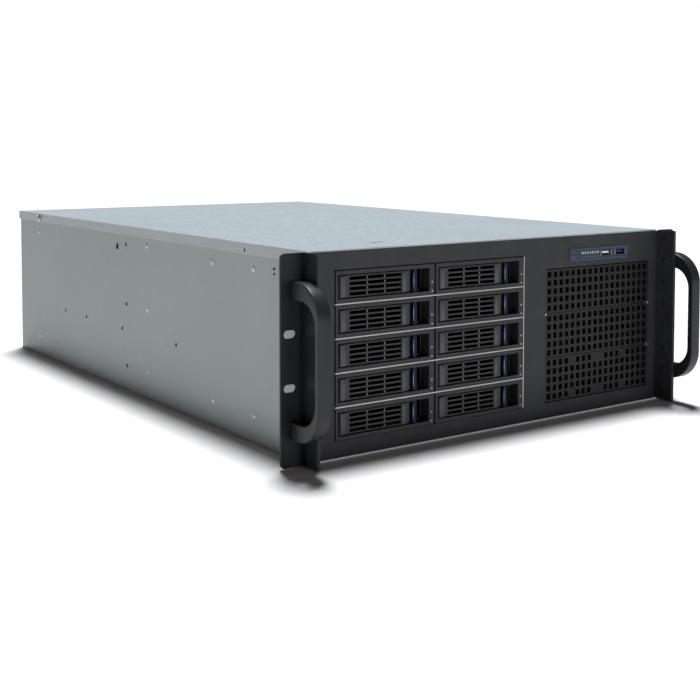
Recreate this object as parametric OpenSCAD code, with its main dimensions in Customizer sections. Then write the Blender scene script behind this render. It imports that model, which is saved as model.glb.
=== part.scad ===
// Rack-mounted storage enclosure, four rack units high.
// X runs to the right seen from the front, Y runs to the back and Z runs up.
// Y = 0 is the front face of the rack flanges, X = 0 the middle and Z = 0 the face that it rests on.

/* [Body] */
// Width of the body across the cover's side lips
body_w = 430; // [426:1:432]
// Depth of the body from the rack flanges' front face to the rear
body_d = 690; // [640:5:760]
// Height of the body, four rack units less their clearance
body_h = 177.3; // [177:0.1:177.8]
// Thickness of the zinc-coated sheet steel
sheet = 1.2; // [1:0.1:1.4]

/* [Rack ears and handles] */
// Width over both rack flanges
rack_w = 482.6; // [482:0.1:483]
// Thickness of the black ear steel
ear_t = 2; // [1.5:0.1:2.2]
// Distance of the mounting slots from the middle
slot_x = 232.55; // [232:0.05:233]
// Length of a mounting slot
slot_len = 11.7; // [10:0.1:12.5]
// How far the ear's leg stands out of the flange
leg_out = 20.6; // [18:0.1:24]
// How far the handle stands out of the flange
handle_out = 42.5; // [40:0.5:50]
// Height of the handle
handle_h = 130; // [124:1:140]
// Width of the handle's bar
handle_w = 12.4; // [11:0.1:12.4]

/* [Drive bays] */
// Pitch of the two bay columns
bay_w = 108; // [107.4:0.1:108.2]
// Pitch of the five bay rows
bay_h = 29.14; // [29:0.01:29.3]
// Left edge of the first column
bay_x = -187.3; // [-189:0.1:-187]
// Lower edge of the first row
bay_z = 14.45; // [14:0.05:15]

/* [Tray] */
// Clearance between a tray and its bay, all round
tray_gap = 0.4; // [0.3:0.05:0.5]
// Length of a tray
tray_len = 160; // [158:1:162]
// Thickness of a tray's side rail
rail_t = 1.8; // [1.6:0.05:1.9]

/* [Optical bays] */
// Left edge of the three stacked bays
stack_x = 57.6; // [57:0.1:58]
// Lower edge of the three stacked bays
stack_z = 15.5; // [15:0.1:16]
// Width of a cover plate's place
stack_w = 146.4; // [146:0.1:147]
// Pitch of the cover plates
stack_pitch = 43.4; // [43:0.1:43.5]

/* [Fans] */
// Side of a middle fan
mid_fan = 120; // [120:1:120]
// Side of a rear fan
rear_fan = 80; // [80:1:80]
// Depth of every fan
fan_t = 25; // [24:1:26]

/* [Hidden] */
$fn = 48;
ROWS = 5;
COLS = 2;
half_w = body_w / 2;
wall_out = half_w - sheet;
wall_in = wall_out - sheet;
pan_top = body_h - sheet - 0.2;
rear_y = body_d - sheet;
panel_y = 2.1;
panel_back = panel_y + sheet;
panel_z = sheet + 0.2;
flange_x = rack_w / 2;
leg_x = half_w + 4.7;
panel_x = leg_x - ear_t;
ear_z = 0.4;
ear_top = body_h - 0.5;
rack_mid = 88.5;
rack_pitch = 44.45;
slot_r = 3.4;
flange_r = 4.5;
rivet_r = 1.6;
rivet_head_r = 2.7;
rivet_head = 0.9;
side_head_r = 3;
side_head = 0.6;
fit = 0.05;
rivet_y = -8.5;
rivet_count = 8;
rivet_z0 = 9;
rivet_pitch = 22.7;
handle_x = leg_x + 0.3;
handle_mid = 89;
handle_arm = 15;
handle_bar = 6;
handle_bend = [30, 20];
handle_tap = 2.1;
handle_screw_z = handle_h / 2 - handle_arm / 2;
shelf_t = 1;
tray_w = bay_w - shelf_t - 2 * tray_gap;
tray_h = bay_h - shelf_t - 2 * tray_gap;
tray_face = 1.6;
rail_top = 21;
floor_z = [0.8, 2];
drive_hole_y = [26, 67.6, 127.6];
drive_hole_z = 9.2;
bezel_back = 15;
pivot_x = 6;
pivot_y = 4.7;
barrel_r = 2.6;
pin_r = 1;
lever_face = 2.4;
lever_t = 2.4;
lever_z = 4.3;
lever_end = 82;
groove = 0.9;
vent_x = 14.8;
vent_w = 17.6;
vent_pitch = [18.6, 4.4];
vent_half = 1.4;
latch_x = 83;
latch_w = 4.2;
recess_end = 100.5;
cage_y0 = 9;
cage_y1 = 169;
hair = 0.03;
board_y = 171;
wing_y = [82, 158];
cage_x0 = bay_x;
cage_x1 = bay_x + COLS * bay_w;
stack_y1 = 200;
stack_h = 3 * stack_pitch;
hole_cols = 18;
hole_rows = 5;
hole_margin = 1.6;
hole_half = [2.3, 2.7];
grille_back = 8;
strip_x0 = 89.4;
strip_x1 = 172.9;
strip_z0 = 150.3;
strip_z1 = 163.7;
button_x = 94.2;
button_s = 3.8;
power_z = 159.4;
reset_z = 154.6;
usb_z = 157.4;
usb_x = [140.2, 161];
usb_half = [6.6, 2.8];
lamp_x = 107;
lamp_pitch = 3.6;
lamp_z = 158.6;
lamp_count = 7;
fan_wall_y = 336;
fan_hole = [98, 114];
fan_wall_top = 158;
fan_z = 84;
mid_fan_pitch = 127;
screw_hole_r = 2.2;
axle_r = 1.5;
blade_count = 7;
blade_t = 1.4;
blade_turn = 38;
rear_fan_z = 118;
rear_fan_x = [-12, 72];
board_x = -179.5;
psu_x = 119;
psu_z = 10;
psu_window = [80, 126];
port_z = [10, 54.5];
io_x0 = -49;
io_x1 = 109.75;
slot_pitch = 20.32;
slot_x0 = -66;
cover_lip = 9.8;
cover_slide = 18;
side_screw_y = body_d - 70.5;
side_screw_z = 171.4;
screw_head_r = 3.4;
thumb_x = 150;
thumb_z = 172.4;
thumb_r = 4.6;
thumb_head = 9;
screw_r = 1.95;
clear_r = 2.05;
rail_hole_z = 65.5;
rail_hole_y = [243.6, 372.6, 472.5, 536.3];
rail_hole_r = 2;
TRAYS = [for (c = [0:COLS - 1]) for (r = [0:ROWS - 1]) c * ROWS + r + 1];
function tray_name(kind, i) = str(kind, "_", i < 10 ? "0" : "", i);

// ---- shapes used by several pieces ----

// A block between two opposite corners.
module block(a, b) {
    translate(a) cube(b - a);
}

// An outline in X and Z made into a plate that lies between y and y + t.
module plate(y, t) {
    translate([0, y + t, 0]) rotate([90, 0, 0]) linear_extrude(t) children();
}

// A cylinder along Y from y0 to y1.
module rod_y(x, z, y0, y1, r) {
    translate([x, y0, z]) rotate([-90, 0, 0]) cylinder(h = y1 - y0, r = r);
}

// A cylinder along X from x0 to x1.
module rod_x(x0, x1, y, z, r) {
    translate([x0, y, z]) rotate([0, 90, 0]) cylinder(h = x1 - x0, r = r);
}

// A rectangle with its lower left corner at the origin and round corners.
module round_rect(w, h, r) {
    translate([r, 0]) square([w - 2 * r, h]);
    translate([0, r]) square([w, h - 2 * r]);
    for (x = [r, w - r], y = [r, h - r]) translate([x, y]) circle(r);
}

// A slot with round ends, centred on the origin.
module slot(len, r) {
    square([len - 2 * r, 2 * r], center = true);
    for (s = [-1, 1]) translate([s * (len / 2 - r), 0]) circle(r);
}

// Children on the left side, and the same children mirrored to the right side.
module both_sides() {
    children();
    mirror([1, 0, 0]) children();
}

// ---- body ----

// Rivets and holes of a side wall, each a [y, z] place.
SIDE_RIVETS = [
    [90.8, 154.6], [90.8, 22.9], [167, 154.4], [167, 22.9], [309, 159], [309, 93], [309, 26.5],
    [body_d - 66.6, 154.2], [body_d - 66.6, 22.9]
];
SIDE_HOLES = [[361, 157.4], [361, 93], [361, 26.2]];
side_hole_r = 2.3;

// Upright slots of a side wall, each [y0, z0, y1, z1].
SIDE_SLOTS = [[381, 150.6, 387, 156.8], [53.6, 152.8, 57, 154.6], [53.6, 157.2, 57, 159.2]];
BOARD_POSTS = [
    for (x = [0, 124.46, 281.94], y = [0, 154.94, 227.33]) [board_x + x, body_d - 13 - y]
];

// Screw holes of an upright power supply, each an [x, z] place on its rear face.
PSU_HOLES = [[16, 6], [80, 6], [6, 144], [80, 144]];

module side_wall() {
    x0 = -wall_out - 1;
    x1 = -wall_in + 1;
    slide_r = clear_r + 0.25;
    difference() {
        union() {
            block([-wall_out, panel_back + 0.2, 0.6], [-wall_in, rear_y - 0.1, pan_top]);
            block([-wall_out, 20, pan_top - sheet], [-wall_in + 9, rear_y - 3, pan_top]);
        }
        for (p = SIDE_RIVETS) rod_x(x0, x1, p[0], p[1], rivet_r + fit);
        for (p = SIDE_HOLES) rod_x(x0, x1, p[0], p[1], side_hole_r);
        for (y = rail_hole_y) rod_x(x0, x1, y, rail_hole_z, rail_hole_r);
        for (p = SIDE_SLOTS) block([x0, p[0], p[1]], [x1, p[2], p[3]]);
        rod_x(x0, x1, side_screw_y, side_screw_z, slide_r);
        block(
            [x0, side_screw_y, side_screw_z - slide_r],
            [x1, side_screw_y + cover_slide + slide_r, side_screw_z + slide_r]
        );
    }
}

module base_pan() {
    post = [7.7, 3.4, 1.55];
    color("silver") difference() {
        union() {
            block([-wall_out, panel_back + 0.2, 0], [wall_out, rear_y - 0.1, sheet]);
            block([-panel_x + 1.4, -0.6, 0], [panel_x - 1.4, panel_back + 0.3, sheet]);
            both_sides() side_wall();
            for (p = BOARD_POSTS) translate([p[0], p[1], 0]) cylinder(h = post[0], r = post[1]);
        }
        for (p = BOARD_POSTS) translate([p[0], p[1], sheet]) cylinder(h = post[0], r = post[2]);
    }
}

// Honeycomb of six-sided holes inside a circle.
module honeycomb(radius, pitch, hole) {
    steps = ceil(radius / pitch);
    for (i = [-steps:steps], j = [-steps:steps]) {
        x = pitch * (i + (j % 2 == 0 ? 0 : 0.5));
        y = pitch * j * sqrt(3) / 2;
        if (norm([x, y]) < radius) translate([x, y]) rotate(30) circle(hole, $fn = 6);
    }
}

module rear_panel() {
    flange = 12;
    slot_half = 6.5;
    slot_z = [13, 123];
    shelf_z = slot_z[1] + 2.8;
    screw = fan_screw(rear_fan);
    color("silver") difference() {
        union() {
            block([-wall_in + 0.1, rear_y, sheet + 0.1], [wall_in - 0.1, body_d, pan_top]);
            both_sides() {
                block([-wall_in + 0.1, rear_y - flange, sheet + 0.1], [-wall_in + 1.3, body_d, pan_top - 2]);
            }
            block(
                [slot_x0 - 7 * slot_pitch + 6, rear_y - flange - 1, shelf_z],
                [slot_x0 + 7, body_d, shelf_z + sheet]
            );
        }
        plate(rear_y - 1, 4) {
            translate([psu_x + 3, psu_z + 12]) square(psu_window);
            translate([io_x0, port_z[0]]) square([io_x1 - io_x0, port_z[1] - port_z[0]]);
            for (i = [0:6]) {
                translate([slot_x0 - i * slot_pitch - slot_half, slot_z[0]])
                    square([2 * slot_half, slot_z[1] - slot_z[0]]);
            }
            for (x = rear_fan_x) {
                translate([x, rear_fan_z]) honeycomb(36, 7.6, 3.7);
                for (a = [-screw, screw], b = [-screw, screw]) {
                    translate([x + a, rear_fan_z + b]) circle(screw_hole_r);
                }
            }
            for (p = PSU_HOLES) translate([psu_x + p[0], psu_z + p[1]]) circle(1.75);
        }
        for (x = [-thumb_x, thumb_x]) rod_y(x, thumb_z, rear_y - 1, body_d + 1, clear_r);
    }
}

module top_cover() {
    back = body_d + sheet + 0.1;
    color("lightsteelblue") difference() {
        union() {
            block([-half_w, tray_face, body_h - sheet], [half_w, back, body_h]);
            both_sides() block([-half_w, 3.4, body_h - cover_lip], [-wall_out - 0.02, body_d, body_h]);
            block([-half_w, back - sheet, body_h - cover_lip], [half_w, back, body_h]);
        }
        block([-121, 40.5, body_h - 2], [-107, 44.5, body_h + 1]);
        both_sides() {
            rod_x(-half_w - 1, -wall_out + 1, side_screw_y, side_screw_z, clear_r);
            rod_x(-half_w - 1, -wall_out + 1, 104, body_h - 6.3, rivet_r + 0.3);
            rod_y(-thumb_x, thumb_z, body_d - 1, back + 1, clear_r);
        }
    }
}

module cover_screws() {
    head = 1.4;
    back = body_d + sheet + 0.1;
    color("gainsboro") both_sides() {
        rod_x(-half_w - head, -half_w, side_screw_y, side_screw_z, screw_head_r);
        rod_x(-half_w - 0.5, -wall_in + 2, side_screw_y, side_screw_z, screw_r);
        rod_y(-thumb_x, thumb_z, body_d - 2.4, back + 1, screw_r);
        rod_y(-thumb_x, thumb_z, back, back + thumb_head, thumb_r);
    }
}

// ---- front ----

module front_panel() {
    strip_w = strip_x1 - strip_x0;
    color("dimgray") difference() {
        union() {
            block([-panel_x, panel_y, panel_z], [panel_x, panel_back, pan_top]);
            both_sides() block([-panel_x, -leg_out, panel_z], [-panel_x + sheet, panel_back, pan_top]);
        }
        plate(panel_y - 1, 4) {
            translate([bay_x - 0.1, bay_z + 0.4])
                square([COLS * bay_w + 0.9, ROWS * bay_h - 0.4]);
            translate([stack_x, stack_z]) square([stack_w, stack_h]);
            translate([strip_x0 - 0.2, strip_z0 - 0.2])
                round_rect(strip_w + 0.4, strip_z1 - strip_z0 + 0.4, 1.7);
        }
        both_sides() leg_holes();
    }
}

// Holes through the left ear's leg and the panel's side, one for each rivet.
module leg_holes() {
    for (i = [0:rivet_count - 1]) {
        rod_x(-leg_x - 1, -panel_x + 2 * sheet, rivet_y, rivet_z0 + i * rivet_pitch, rivet_r + fit);
    }
}

module ear() {
    flange_w = flange_x - panel_x;
    high = ear_top - ear_z;
    screw_x = -handle_x - handle_w / 2;
    color([0.13, 0.14, 0.14]) difference() {
        union() {
            plate(0, ear_t) translate([-flange_x, ear_z]) {
                translate([flange_r, 0]) square([flange_w - flange_r, high]);
                translate([0, flange_r]) square([flange_r + 0.5, high - 2 * flange_r]);
                for (z = [flange_r, high - flange_r]) translate([flange_r, z]) circle(flange_r);
            }
            block([-leg_x, -leg_out, ear_z], [-panel_x, ear_t, ear_top]);
        }
        plate(-1, ear_t + 2) for (s = [-0.5, 0.5]) {
            translate([-slot_x, rack_mid + s * rack_pitch]) slot(slot_len, slot_r);
        }
        for (s = [-1, 1]) {
            rod_y(screw_x, handle_mid + s * handle_screw_z, -1, ear_t + 1, handle_tap);
            screw_cone(screw_x, handle_mid + s * handle_screw_z, fit);
        }
        leg_holes();
    }
}

// The sunk head of a handle screw, widened by a clearance.
module screw_cone(x, z, gap) {
    translate([x, ear_t - 1.5, z]) rotate([-90, 0, 0]) {
        cylinder(h = 1.5 + gap, r1 = 2 + gap, r2 = 3.5 + gap);
    }
}

// Outline of half a stadium that stands out towards -X, centred on Y.
module bow(out, h, r) {
    intersection() {
        translate([-out, -h / 2]) square([out, h]);
        union() {
            translate([r - out, -h / 2]) square([out, h]);
            translate([-out, r - h / 2]) square([out, h - 2 * r]);
            for (s = [-1, 1]) translate([r - out, s * (h / 2 - r)]) circle(r, $fn = 96);
        }
    }
}

module handle() {
    color([0.2, 0.2, 0.21]) difference() {
        translate([-handle_x - handle_w, 0, handle_mid]) rotate([90, 0, 90]) {
            linear_extrude(handle_w) difference() {
                bow(handle_out, handle_h, handle_bend[0]);
                translate([1, 0])
                    bow(handle_out - handle_bar + 1, handle_h - 2 * handle_arm, handle_bend[1]);
            }
        }
        for (s = [-1, 1]) {
            rod_y(-handle_x - handle_w / 2, handle_mid + s * handle_screw_z, -14, 1, screw_r + fit);
        }
    }
}

module handle_screws() {
    color("gray") both_sides() for (s = [-1, 1]) {
        z = handle_mid + s * handle_screw_z;
        rod_y(-handle_x - handle_w / 2, z, -12, ear_t - 1, screw_r);
        screw_cone(-handle_x - handle_w / 2, z, 0);
    }
}

module rivets() {
    inner = -panel_x + sheet;
    color("gray") both_sides() {
        for (i = [0:rivet_count - 1]) {
            z = rivet_z0 + i * rivet_pitch;
            rod_x(-leg_x, inner, rivet_y, z, rivet_r);
            rod_x(inner, inner + rivet_head, rivet_y, z, rivet_head_r);
            if (i == 0 || i == rivet_count - 1) {
                rod_x(-leg_x - rivet_head, -leg_x, rivet_y, z, rivet_head_r);
            }
        }
        for (p = SIDE_RIVETS) {
            rod_x(-wall_out - side_head, -wall_out, p[0], p[1], side_head_r);
            rod_x(-wall_out - side_head / 2, -wall_in, p[0], p[1], rivet_r);
        }
    }
}

// ---- drive bays ----

// A bracket between a cage wall at x1 and the side wall at x0, with a foot along the side wall.
module wing(x0, x1, y, z0, z1) {
    s = sign(x1 - x0);
    block([min(x0, x1), y, z0], [max(x0, x1), y + 1, z1]);
    block([min(x0, x0 + s), y, z0], [max(x0, x0 + s), y + 18, z1]);
}

// Welded cage of thin sheets: two side walls, full shelves and short middle walls.
// A hair of room is left between the sheets.
module drive_cage() {
    half = shelf_t / 2;
    z0 = bay_z - half;
    z1 = bay_z + ROWS * bay_h + half;
    xm = bay_x + bay_w;
    front = panel_y - 0.4;
    color("gainsboro") {
        block([cage_x0 - half, cage_y0, z0], [cage_x0 + half, cage_y1, z1]);
        for (y = wing_y) wing(-wall_in + 0.1, cage_x0 - half - hair, y, z0 + 1, z1);
        block([cage_x1 - half, panel_back, z0], [cage_x1 + half, cage_y1, z1]);
        block([cage_x1 - half, front, z0 + 1.2], [cage_x1 + half, panel_back, z1 - 1.2]);
        for (j = [0:ROWS]) {
            z = bay_z + j * bay_h;
            y0 = j == 0 || j == ROWS ? cage_y0 : front;
            block([cage_x0 + half + hair, y0, z - half], [cage_x1 - half - hair, cage_y1, z + half]);
        }
        for (j = [0:ROWS - 1]) {
            z = bay_z + j * bay_h + half;
            block([xm - half, cage_y0, z + hair], [xm + half, cage_y1, z + bay_h - shelf_t - hair]);
        }
    }
}

module backplane() {
    socket = [38, 6.5, 5];
    window = [11, 15];
    window_x = 58;
    window_pitch = 15;
    color("darkgreen") difference() {
        block([cage_x0, board_y, bay_z + 0.5], [cage_x1, board_y + 1.6, bay_z + ROWS * bay_h - 0.5]);
        for (c = [0:COLS - 1], r = [0:ROWS - 1], k = [0:2]) {
            x = bay_x + c * bay_w + window_x + k * window_pitch;
            z = bay_z + r * bay_h + 7;
            block([x, board_y - 1, z], [x + window[0], board_y + 3, z + window[1]]);
        }
    }
    color("black") for (c = [0:COLS - 1], r = [0:ROWS - 1]) {
        translate([bay_x + c * bay_w + 12, board_y - socket[1], bay_z + r * bay_h + 5]) cube(socket);
    }
}

// Left, bottom, front corner of bay number i.
function bay_corner(i) = [
    bay_x + floor((i - 1) / ROWS) * bay_w + shelf_t / 2 + tray_gap,
    tray_face,
    bay_z + ((i - 1) % ROWS) * bay_h + shelf_t / 2 + tray_gap
];

module tray(i) {
    back = tray_len - tray_face;
    bezel = bezel_back - tray_face;
    open_z = lever_z - groove;
    color([0.22, 0.23, 0.25]) translate(bay_corner(i)) {
        difference() {
            union() {
                cube([tray_w, bezel, tray_h]);
                for (x = [0, tray_w - rail_t]) {
                    block([x, bezel - 0.5, floor_z[0]], [x + rail_t, back, rail_top]);
                }
                for (y = [[bezel - 0.5, bezel + 12], [60, 76], [back - 18, back]]) {
                    block([0, y[0], floor_z[0]], [tray_w, y[1], floor_z[1]]);
                }
            }
            block([2.4, -1, open_z], [lever_end + 0.5, 8, tray_h - open_z]);
            block([10, 7, lever_z + 0.5], [lever_end - 10, bezel + 1, tray_h - lever_z - 0.5]);
            block([lever_end + 0.2, -1, open_z], [recess_end, bezel - 1.4, tray_h - open_z]);
            block([latch_x + latch_w + 1, -1, lever_z], [recess_end - 1, bezel + 1, tray_h - lever_z]);
            for (y = drive_hole_y) rod_x(-1, tray_w + 1, y, drive_hole_z, 1.75);
        }
        translate([pivot_x, pivot_y - tray_face, open_z - 0.5]) {
            cylinder(h = tray_h - 2 * open_z + 1, r = pin_r);
        }
    }
}

// Section of the lever in X and Y: barrel, arm and curled end.
module lever_section() {
    tip = 6.8;
    pad = [0.1, 1.5];
    bulge = 4.8;
    steps = 6;
    arm_y = lever_face - tray_face;
    x1 = lever_end - tip;
    difference() {
        union() {
            translate([pivot_x, pivot_y - tray_face]) circle(barrel_r);
            translate([pivot_x, arm_y]) square([x1 - pivot_x, lever_t]);
            translate([pivot_x - 1.5, pad[0]]) square([5, pad[1]]);
            translate([vent_x + 2 * vent_pitch[0] + vent_w, pad[0]]) square([bulge, pad[1]]);
            polygon([
                for (a = [0:steps]) let (t = a / steps) [x1 + t * tip, arm_y + 2.9 * t * t],
                for (a = [steps:-1:0]) let (t = a / steps) [x1 + t * tip, arm_y + lever_t + 2.6 * t * t]
            ]);
        }
        translate([pivot_x, pivot_y - tray_face]) circle(pin_r + fit);
    }
}

module lever(i) {
    high = tray_h - 2 * lever_z;
    color([0.26, 0.26, 0.28]) translate(bay_corner(i)) difference() {
        translate([0, 0, lever_z]) linear_extrude(high) lever_section();
        for (k = [0:2], j = [-1.5:1.5]) {
            x = vent_x + k * vent_pitch[0];
            z = tray_h / 2 + j * vent_pitch[1];
            block([x, -1, z - vent_half], [x + vent_w, 5, z + vent_half]);
        }
    }
}

module latch(i) {
    z0 = lever_z - groove / 2;
    z1 = tray_h - z0;
    color([0.18, 0.24, 0.5]) translate(bay_corner(i)) difference() {
        union() {
            block([latch_x, 1, z0], [latch_x + latch_w, 3, z1]);
            block([latch_x + 1.2, 1, z0 + 2], [latch_x + 2.8, 11.5, z1 - 2]);
        }
        block([latch_x - 1, 0, z0 + 8], [latch_x + 1.1, 2, z1 - 8]);
    }
}

// ---- stacked bays on the right ----

module bay_cage() {
    x0 = stack_x - 0.3;
    x1 = stack_x + stack_w + 0.3;
    z0 = stack_z - 0.6;
    z1 = stack_z + stack_h + 0.6;
    color("gainsboro") {
        for (x = [x0 - 1, x1]) difference() {
            block([x, cage_y0 + 1, z0], [x + 1, stack_y1, z1]);
            for (j = [0:2], y = [52, 128]) {
                z = stack_z + j * stack_pitch + 12;
                rod_x(x - 1, x + 2, y, z, 1.7);
            }
        }
        for (z = [z0, z1 - 1]) block([x0 + fit, cage_y0 + 1, z], [x1 - fit, stack_y1, z + 1]);
        for (y = wing_y) wing(wall_in - 0.1, x1 + 1, y, z0, z1);
    }
}

// Perforated cover plate number k, counted from the top. The lowest keeps solid strips.
module bay_cover(k) {
    z0 = stack_z + (3 - k) * stack_pitch + 0.6 * (k == 3 ? 1 : 0);
    high = stack_pitch - 0.4 - 0.6 * (k == 2 ? 0 : 1);
    x0 = stack_x + 0.3;
    wide = stack_w - 0.6;
    pitch_x = (wide - hole_margin) / hole_cols;
    pitch_z = high / (hole_rows + 0.2);
    strips = [4, 8, 9, 13];
    face = panel_y + 0.9;
    color([0.2, 0.2, 0.2]) difference() {
        union() {
            block([x0, face, z0], [x0 + wide, face + sheet, z0 + high]);
            for (x = [x0, x0 + wide - sheet]) {
                block([x, face + 0.1, z0], [x + sheet, grille_back, z0 + high]);
            }
        }
        for (c = [0:hole_cols - 1], r = [0:hole_rows - 1]) {
            solid = k == 3 && (r == 0 || r == hole_rows - 1) && len(search(c, strips)) > 0;
            x = x0 + hole_margin + (c + 0.5) * pitch_x;
            z = z0 + (r + 0.6) * pitch_z;
            if (!solid) {
                block(
                    [x - hole_half[0], panel_y, z - hole_half[1]],
                    [x + hole_half[0], panel_y + 3, z + hole_half[1]]
                );
            }
        }
    }
}

// ---- control strip ----

module control_strip() {
    wide = strip_x1 - strip_x0;
    high = strip_z1 - strip_z0;
    hole = button_s / 2 + 0.15;
    color([0.1, 0.16, 0.3]) difference() {
        plate(panel_y - 0.5, 2.7) translate([strip_x0, strip_z0]) round_rect(wide, high, 1.5);
        for (z = [power_z, reset_z]) block([button_x - hole, 0, z - hole], [button_x + hole, 6, z + hole]);
        for (x = usb_x) {
            block(
                [x - usb_half[0] - 0.2, 0, usb_z - usb_half[1] - 0.2],
                [x + usb_half[0] + 0.2, 6, usb_z + usb_half[1] + 0.2]
            );
        }
        for (i = [0:lamp_count - 1]) rod_y(lamp_x + i * lamp_pitch, lamp_z, 0, 6, 1.1);
    }
}

module push_button(z) {
    s = button_s / 2;
    color([0.3, 0.4, 0.6]) {
        block([button_x - s, panel_y - 0.9, z - s], [button_x + s, panel_y + 3.4, z + s]);
        block([button_x - 1, panel_y + 3, z - 1], [button_x + 1, panel_y + 6, z + 1]);
    }
}

module control_board() {
    wall = 0.4;
    board_z = usb_z - 4.5;
    half_x = usb_half[0];
    half_z = usb_half[1];
    color("darkgreen") block([98, 4.6, board_z], [strip_x1 + 2, 42, board_z + 1.6]);
    for (x = usb_x) {
        color("silver") difference() {
            block([x - half_x, panel_y, board_z + 1.6], [x + half_x, 16, usb_z + half_z]);
            block(
                [x - half_x + wall, panel_y - 1, board_z + 1.6 + wall],
                [x + half_x - wall, 14, usb_z + half_z - wall]
            );
        }
        color("white") block([x - half_x + 1, panel_y + 1, usb_z + 0.2], [x + half_x - 1, 14.5, usb_z + 2]);
    }
    color("white") for (i = [0:lamp_count - 1]) {
        rod_y(lamp_x + i * lamp_pitch, lamp_z, panel_y - 0.4, 8, 1);
    }
    color("black") block(
        [lamp_x - 2, 8, board_z + 1.5],
        [lamp_x + (lamp_count - 1) * lamp_pitch + 2, 11, lamp_z + 1.2]
    );
}

// ---- fans ----

// Distance of a fan's screw holes from its middle.
function fan_screw(s) = s / 2 - 7;

module fan_frame(x, z, y, s) {
    r = s / 2 - 1.6;
    hub = s * 0.17;
    strut = 1.2;
    plate_t = 3;
    screw = fan_screw(s);
    difference() {
        block([x - s / 2, y, z - s / 2], [x + s / 2, y + fan_t, z + s / 2]);
        rod_y(x, z, y - 1, y + fan_t + 1, r);
        for (a = [-screw, screw], b = [-screw, screw]) {
            rod_y(x + a, z + b, y - 1, y + fan_t + 1, screw_hole_r);
        }
    }
    rod_y(x, z, y + fan_t - plate_t, y + fan_t, hub);
    rod_y(x, z, y + 5, y + fan_t - plate_t + 1, axle_r);
    for (a = [0:3]) translate([x, 0, z]) rotate([0, 45 + a * 90, 0]) {
        block([-strut, y + fan_t - plate_t, hub - 1], [strut, y + fan_t, r + 1]);
    }
}

module rotor(x, z, y, s) {
    tip = s / 2 - 3;
    hub = s * 0.18;
    blade = s * 0.115;
    color([0.15, 0.15, 0.16]) difference() {
        union() {
            rod_y(x, z, y + 3, y + fan_t - 4, hub);
            for (a = [0:blade_count - 1]) {
                translate([x, y + fan_t / 2 - 0.5, z]) rotate([0, a * 360 / blade_count, 0]) {
                    rotate([0, 0, blade_turn])
                        block([-blade, -blade_t / 2, hub - 2], [blade, blade_t / 2, tip - 2.5]);
                }
            }
        }
        rod_y(x, z, y + 4, y + fan_t, axle_r + fit);
    }
}

module fan_wall() {
    y0 = fan_wall_y;
    top = fan_wall_top;
    wing = 34;
    screw = fan_screw(mid_fan);
    color("silver") difference() {
        union() {
            block([-wall_in + 0.2, y0, sheet + 0.1], [wall_in - 0.2, y0 + sheet, top]);
            both_sides() block([-wall_in + 0.2, y0 - wing, 4], [-wall_in + 1.4, y0 + wing, top + 6]);
            block([-wall_in + 0.2, y0 - 10, top - sheet], [wall_in - 0.2, y0 + sheet, top]);
        }
        for (x = [-mid_fan_pitch, 0, mid_fan_pitch]) {
            block(
                [x - fan_hole[0] / 2, y0 - 1, fan_z - fan_hole[1] / 2],
                [x + fan_hole[0] / 2, y0 + 3, fan_z + fan_hole[1] / 2]
            );
            for (a = [-screw, screw], b = [-screw, screw]) {
                rod_y(x + a, fan_z + b, y0 - 1, y0 + 3, screw_hole_r);
            }
        }
        both_sides() for (p = SIDE_HOLES) rod_x(-wall_in - 1, -wall_in + 3, p[0], p[1], side_hole_r);
    }
}

module mid_fan_frames() {
    color([0.12, 0.12, 0.13]) for (k = [-1:1]) {
        fan_frame(k * mid_fan_pitch, fan_z, fan_wall_y + sheet, mid_fan);
    }
}

module rear_fan_frames() {
    color([0.12, 0.12, 0.13]) for (x = rear_fan_x) {
        fan_frame(x, rear_fan_z, rear_y - fan_t, rear_fan);
    }
}

module slot_covers() {
    half = 9.2;
    front = rear_y - 12;
    back = rear_y - 0.05;
    color("silver") for (i = [0:6]) {
        x = slot_x0 - i * slot_pitch;
        difference() {
            union() {
                block([x - half, back - 0.9, 10], [x + half, back, 125.7]);
                block([x - half, front, 127.1], [x + half, back, 128]);
            }
            translate([x + 5, rear_y - 7, 120]) cylinder(h = 10, r = 2);
        }
    }
}

base_pan();
rear_panel();
top_cover();
front_panel();
ear();  // ear_left
mirror([1, 0, 0]) ear();  // ear_right
handle();  // handle_left
mirror([1, 0, 0]) handle();  // handle_right
handle_screws();
rivets();
cover_screws();
drive_cage();
backplane();
bay_cage();
bay_cover(1);  // bay_cover_1
bay_cover(2);  // bay_cover_2
bay_cover(3);  // bay_cover_3
control_strip();
control_board();
push_button(power_z);  // power_button
push_button(reset_z);  // reset_button
fan_wall();
mid_fan_frames();
for (k = [1:3]) {
    union() {
        rotor((k - 2) * mid_fan_pitch, fan_z, fan_wall_y + sheet, mid_fan);
    }
}
rear_fan_frames();
for (k = [1:2]) {
    union() {
        rotor(rear_fan_x[k - 1], rear_fan_z, rear_y - fan_t, rear_fan);
    }
}
slot_covers();
for (i = TRAYS) {
    tray(i);
    lever(i);
    latch(i);
}
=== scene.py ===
"""Looks of a rack storage enclosure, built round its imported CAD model.

X runs to the right seen from the front, Y to the back and Z up. The settings groups hold metres.
The functions that work out a shape use millimetres, and mesh_piece turns them into metres.
"""
import math

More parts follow.
